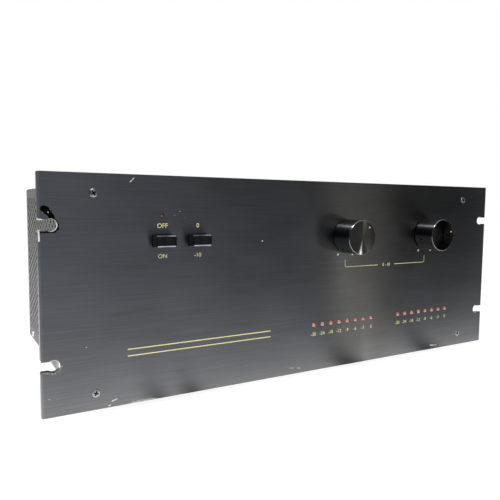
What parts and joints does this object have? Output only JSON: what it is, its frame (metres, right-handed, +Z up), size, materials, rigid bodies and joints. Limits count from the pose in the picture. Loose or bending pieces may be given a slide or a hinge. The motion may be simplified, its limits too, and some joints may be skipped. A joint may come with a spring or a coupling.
{
  "type": "stereo power amplifier",
  "caption": "Rack-mount stereo power amplifier: black brushed front panel with level knobs, push buttons and lamp rows, perforated case, rear heatsinks.",
  "frame": {"origin": "centre of the amplifier's bounding box in plan, on the surface that its feet stand on", "axes": "+X to the right as seen from the front, +Y from the front panel to the rear, +Z up"},
  "size_m": [0.4826, 0.3138, 0.181],
  "materials": {
    "panel_black": "black anodised, brushed along its length",
    "screw_plate": "plated steel, slightly worn",
    "button_black": "satin black moulding",
    "switch_metal": "plated steel",
    "lamp_red": "clear red epoxy, unlit",
    "knob_black": "black anodised, turned",
    "shaft_steel": "bright drawn steel",
    "circuit_board": "green lacquered laminate",
    "chassis_steel": "plated sheet",
    "case_black": "satin black paint",
    "foot_rubber": "matt black rubber",
    "heatsink_black": "black anodised extrusion",
    "core_steel": "varnished laminations",
    "coil_wrap": "varnished paper wrap",
    "capacitor_sleeve": "shrunk plastic sleeve",
    "moulding_black": "black moulding",
    "moulding_red": "red moulding",
    "jack_metal": "nickel plate"
  },
  "bodies": {
    "amplifier": {"front_panel": "panel_black", "panel_screw_1": "screw_plate", "panel_screw_2": "screw_plate", "panel_screw_3": "screw_plate", "panel_screw_4": "screw_plate", "power_switch": "switch_metal", "display_switch": "switch_metal", "power_lamp": "lamp_red", "left_level_pot": "switch_metal", "right_level_pot": "switch_metal", "left_meter_lamp_1": "lamp_red", "left_meter_lamp_2": "lamp_red", "left_meter_lamp_3": "lamp_red", "left_meter_lamp_4": "lamp_red", "left_meter_lamp_5": "lamp_red", "left_meter_lamp_6": "lamp_red", "left_meter_lamp_7": "lamp_red", "left_meter_lamp_8": "lamp_red", "right_meter_lamp_1": "lamp_red", "right_meter_lamp_2": "lamp_red", "right_meter_lamp_3": "lamp_red", "right_meter_lamp_4": "lamp_red", "right_meter_lamp_5": "lamp_red", "right_meter_lamp_6": "lamp_red", "right_meter_lamp_7": "lamp_red", "right_meter_lamp_8": "lamp_red", "display_board": "circuit_board", "chassis_tray": "chassis_steel", "perforated_cover": "case_black", "rear_panel": "case_black", "front_left_foot": "foot_rubber", "front_right_foot": "foot_rubber", "back_left_foot": "foot_rubber", "back_right_foot": "foot_rubber", "left_heatsink": "heatsink_black", "right_heatsink": "heatsink_black", "left_output_board": "circuit_board", "right_output_board": "circuit_board", "transformer_core": "core_steel", "transformer_coil": "coil_wrap", "left_capacitor": "capacitor_sleeve", "right_capacitor": "capacitor_sleeve", "capacitor_bracket": "switch_metal", "bridge_rectifier": "moulding_black", "left_input_jack": "jack_metal", "right_input_jack": "jack_metal", "speaker_terminal_block": "moulding_black", "fuse_holder": "moulding_black", "cord_gland": "moulding_black"},
    "power_button": {"power_button": "button_black"},
    "display_button": {"display_button": "button_black"},
    "left_level_control": {"left_level_knob": "knob_black", "left_level_shaft": "shaft_steel"},
    "right_level_control": {"right_level_knob": "knob_black", "right_level_shaft": "shaft_steel"},
    "left_black_terminal_cap": {"left_black_terminal_cap": "moulding_black"},
    "left_red_terminal_cap": {"left_red_terminal_cap": "moulding_red"},
    "right_black_terminal_cap": {"right_black_terminal_cap": "moulding_black"},
    "right_red_terminal_cap": {"right_red_terminal_cap": "moulding_red"},
    "fuse_cap": {"fuse_cap": "moulding_black"}
  },
  "joints": [
    {"name": "power_button_press", "type": "slide", "parent": "amplifier", "child": "power_button", "axis": [0, 1, 0], "range_m": [0, 0.004], "stiffness_N_per_m": 600},
    {"name": "display_button_press", "type": "slide", "parent": "amplifier", "child": "display_button", "axis": [0, 1, 0], "range_m": [0, 0.004], "stiffness_N_per_m": 600},
    {"name": "left_level_turn", "type": "hinge", "parent": "amplifier", "child": "left_level_control", "pos_m": [0.036, -0.13335, 0.12985], "axis": [0, 1, 0], "range_deg": [-192, 108]},
    {"name": "right_level_turn", "type": "hinge", "parent": "amplifier", "child": "right_level_control", "pos_m": [0.1442, -0.13335, 0.12985], "axis": [0, 1, 0], "range_deg": [-224, 76]},
    {"name": "left_black_cap_turn", "type": "hinge", "parent": "amplifier", "child": "left_black_terminal_cap", "pos_m": [-0.03653, 0.12865, 0.09574], "axis": [0, 1, 0], "range_deg": [0, 720]},
    {"name": "left_red_cap_turn", "type": "hinge", "parent": "amplifier", "child": "left_red_terminal_cap", "pos_m": [-0.01748, 0.12865, 0.09574], "axis": [0, 1, 0], "range_deg": [0, 720]},
    {"name": "right_black_cap_turn", "type": "hinge", "parent": "amplifier", "child": "right_black_terminal_cap", "pos_m": [0.01748, 0.12865, 0.09574], "axis": [0, 1, 0], "range_deg": [0, 720]},
    {"name": "right_red_cap_turn", "type": "hinge", "parent": "amplifier", "child": "right_red_terminal_cap", "pos_m": [0.03653, 0.12865, 0.09574], "axis": [0, 1, 0], "range_deg": [0, 720]},
    {"name": "fuse_cap_turn", "type": "hinge", "parent": "amplifier", "child": "fuse_cap", "pos_m": [0.032, 0.12465, 0.04909], "axis": [0, 1, 0], "range_deg": [0, 60]}
  ]
}
